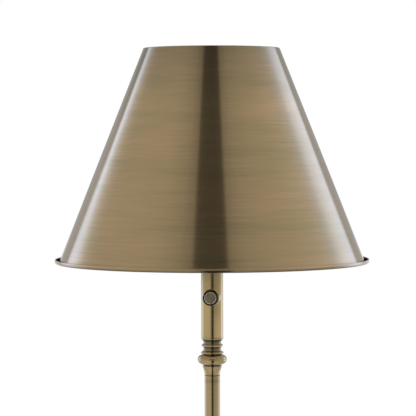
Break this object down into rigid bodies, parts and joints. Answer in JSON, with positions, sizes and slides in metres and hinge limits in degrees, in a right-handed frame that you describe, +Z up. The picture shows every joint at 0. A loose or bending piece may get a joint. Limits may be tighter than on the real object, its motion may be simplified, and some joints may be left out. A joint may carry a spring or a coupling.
{
  "type": "floor lamp",
  "caption": "Floor lamp with a conical brushed-brass shade on a harp, a turned brass pole with a rotary dimmer knob and a weighted round base.",
  "frame": {"origin": "on the floor, on the pole's axis, at the middle of the base's underside", "axes": "+Z up along the pole, -Y towards the knob's face, +Y out of the base's cord outlet"},
  "size_m": [0.403, 0.4029, 1.55],
  "materials": {
    "brushed_shade": "antique brass, brushed round the cone, aged",
    "aged_brass": "antique brass, satin, dark in the grooves",
    "dull_brass": "brass plate, satin",
    "bright_brass": "bright brass",
    "zinc_steel": "zinc-plated steel",
    "opal_glass": "opal white",
    "bulb_alloy": "bright",
    "black_plastic": "matt black",
    "dark_phenolic": "dark brown, matt",
    "paper_liner": "brown insulating card",
    "lead_sheath": "brown PVC, matt",
    "iron_casting": "as cast",
    "green_felt": "felt"
  },
  "bodies": {
    "column": {"harp_saddle": "dull_brass", "harp_sleeves": "bright_brass", "harp_wire": "dull_brass", "harp_stud": "bright_brass", "bulb_glass": "opal_glass", "bulb_cap": "bulb_alloy", "bulb_contact": "black_plastic", "socket_cap": "dull_brass", "socket_shell": "dull_brass", "socket_liner": "paper_liner", "socket_core": "dark_phenolic", "screw_shell": "bright_brass", "centre_contact": "bright_brass", "terminal_screws": "bright_brass", "top_nipple": "zinc_steel", "sleeve_cap": "aged_brass", "cap_nut": "zinc_steel", "switch_sleeve": "aged_brass", "socket_lead": "lead_sheath", "dimmer_case": "dark_phenolic", "dimmer_bushing": "zinc_steel", "dimmer_bezel": "aged_brass", "dimmer_washer": "zinc_steel", "dimmer_nut": "zinc_steel", "neck_turning": "aged_brass", "neck_washer": "zinc_steel", "neck_nut": "zinc_steel", "upper_tube": "aged_brass", "lower_tube": "aged_brass", "pole_joiner": "dull_brass", "upper_rod": "zinc_steel", "lower_rod": "zinc_steel", "rod_coupling": "zinc_steel", "supply_lead": "lead_sheath", "base_collar": "aged_brass", "base_cover": "aged_brass", "base_weight": "iron_casting", "base_washer": "zinc_steel", "base_nut": "zinc_steel", "cord_bushing": "black_plastic", "felt_pad": "green_felt"},
    "knob": {"dimmer_shaft": "zinc_steel", "dimmer_knob": "black_plastic", "knob_inlay": "aged_brass", "knob_screw": "zinc_steel"},
    "shade": {"shade": "brushed_shade", "shade_spider": "dull_brass"},
    "finial": {"finial": "aged_brass"}
  },
  "joints": [
    {"name": "dimmer_turn", "type": "hinge", "parent": "column", "child": "knob", "pos_m": [0, -0.0207, 1.2314], "axis": [0, 1, 0], "range_deg": [0, 300]},
    {"name": "shade_turn", "type": "hinge", "parent": "column", "child": "shade", "pos_m": [0, 0, 1.5176], "axis": [0, 0, 1], "continuous": true},
    {"name": "finial_turn", "type": "hinge", "parent": "column", "child": "finial", "pos_m": [0, 0, 1.52], "axis": [0, 0, 1], "continuous": true}
  ]
}
